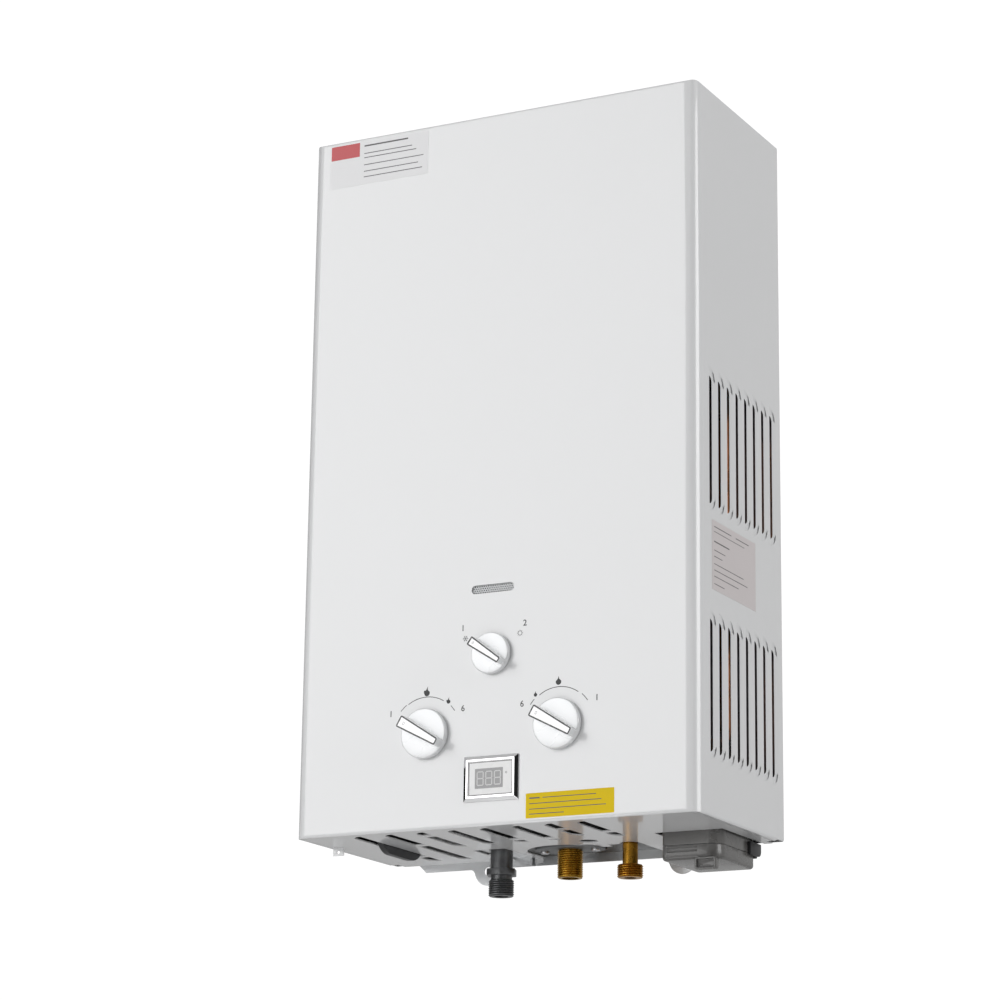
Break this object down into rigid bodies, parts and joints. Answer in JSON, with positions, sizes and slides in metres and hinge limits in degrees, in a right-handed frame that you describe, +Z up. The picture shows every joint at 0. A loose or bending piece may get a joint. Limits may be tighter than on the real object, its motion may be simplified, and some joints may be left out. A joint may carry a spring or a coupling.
{
  "type": "instantaneous gas water heater",
  "caption": "Wall-hung gas water heater: louvred white sheet case, three control knobs, small display, flue collar, pipe threads and battery box below.",
  "frame": {"origin": "on the wall plane, midway across the case, level with the case's lower edge", "axes": "+X to the right seen from the front, +Y into the wall so the front faces -Y, +Z up"},
  "size_m": [0.356, 0.1855, 0.6689],
  "materials": {
    "white_enamel": "gloss",
    "galvanised": "satin",
    "collar_steel": "satin",
    "copper": "satin",
    "brass": "satin",
    "zinc_cast": "matt",
    "alloy_cast": "matt",
    "black_rubber": "matt",
    "bright_steel": "satin",
    "black_plastic": "matt",
    "grey_plastic": "gloss",
    "cell_wrap": "gloss",
    "white_plastic": "gloss",
    "green_board": "matt",
    "ceramic": "gloss",
    "chrome_trim": "polished",
    "silver_plastic": "satin",
    "display_lens": "gloss"
  },
  "bodies": {
    "heater": {"back_plate": "galvanised", "front_cover": "white_enamel", "valve_shelf": "galvanised", "top_panel": "galvanised", "flue_collar": "collar_steel", "draft_hood": "galvanised", "heat_chamber": "copper", "fin_pack": "copper", "exchanger_tubes": "copper", "coil_pipe": "copper", "chamber_brackets": "galvanised", "hot_pipe": "copper", "hot_outlet": "brass", "cold_pipe": "copper", "water_link_tube": "copper", "water_regulator": "brass", "water_valve_body": "alloy_cast", "cold_inlet": "brass", "diaphragm": "black_rubber", "diaphragm_cover": "alloy_cast", "valve_screws": "bright_steel", "gas_inlet": "zinc_cast", "gas_valve_body": "alloy_cast", "gas_solenoid": "black_plastic", "gas_riser": "bright_steel", "selector_cock": "alloy_cast", "gas_manifold": "alloy_cast", "injectors": "brass", "burner_tray": "galvanised", "burner_blades": "bright_steel", "electrode_brackets": "galvanised", "spark_electrode": "ceramic", "flame_sensor": "ceramic", "igniter_module": "black_plastic", "igniter_bracket": "galvanised", "micro_switch": "black_plastic", "thermal_cutout": "black_plastic", "display_bezel": "chrome_trim", "display_housing": "white_plastic", "display_lens": "display_lens", "display_board": "green_board", "window_mesh": "white_enamel", "battery_box": "grey_plastic", "battery_hinge": "black_plastic", "battery_cells": "cell_wrap", "battery_contacts": "bright_steel"},
    "gas_control": {"gas_knob": "silver_plastic", "gas_knob_insert": "chrome_trim", "gas_spindle": "bright_steel"},
    "water_control": {"water_knob": "silver_plastic", "water_knob_insert": "chrome_trim", "water_spindle": "bright_steel"},
    "season_control": {"season_knob": "silver_plastic", "season_knob_insert": "chrome_trim", "season_spindle": "bright_steel"},
    "battery_door": {"battery_lid": "grey_plastic", "battery_link": "bright_steel"},
    "push_rod": {"flow_rod": "brass"},
    "lever": {"switch_lever": "bright_steel"}
  },
  "joints": [
    {"name": "gas_turn", "type": "hinge", "parent": "heater", "child": "gas_control", "pos_m": [-0.058, -0.17, 0.0763], "axis": [0, 1, 0], "range_deg": [0, 118]},
    {"name": "water_turn", "type": "hinge", "parent": "heater", "child": "water_control", "pos_m": [0.0593, -0.17, 0.0757], "axis": [0, 1, 0], "range_deg": [0, 118]},
    {"name": "season_turn", "type": "hinge", "parent": "heater", "child": "season_control", "pos_m": [0.0005, -0.17, 0.1365], "axis": [0, 1, 0], "range_deg": [0, 111]},
    {"name": "battery_door_hinge", "type": "hinge", "parent": "heater", "child": "battery_door", "pos_m": [0.132, -0.0092, -0.0103], "axis": [1, 0, 0], "range_deg": [0, 65]},
    {"name": "rod_slide", "type": "slide", "parent": "heater", "child": "push_rod", "axis": [0, 0, 1], "range_m": [0, 0.004], "stiffness_N_per_m": 400, "springref_m": -0.002},
    {"name": "lever_pivot", "type": "hinge", "parent": "heater", "child": "lever", "pos_m": [0.042, -0.037, 0.0549], "axis": [0, 1, 0], "range_deg": [0, 8]}
  ],
  "couplings": [
    {"joint": "lever_pivot", "follows": "rod_slide", "rad_per_m": 32.468}
  ]
}
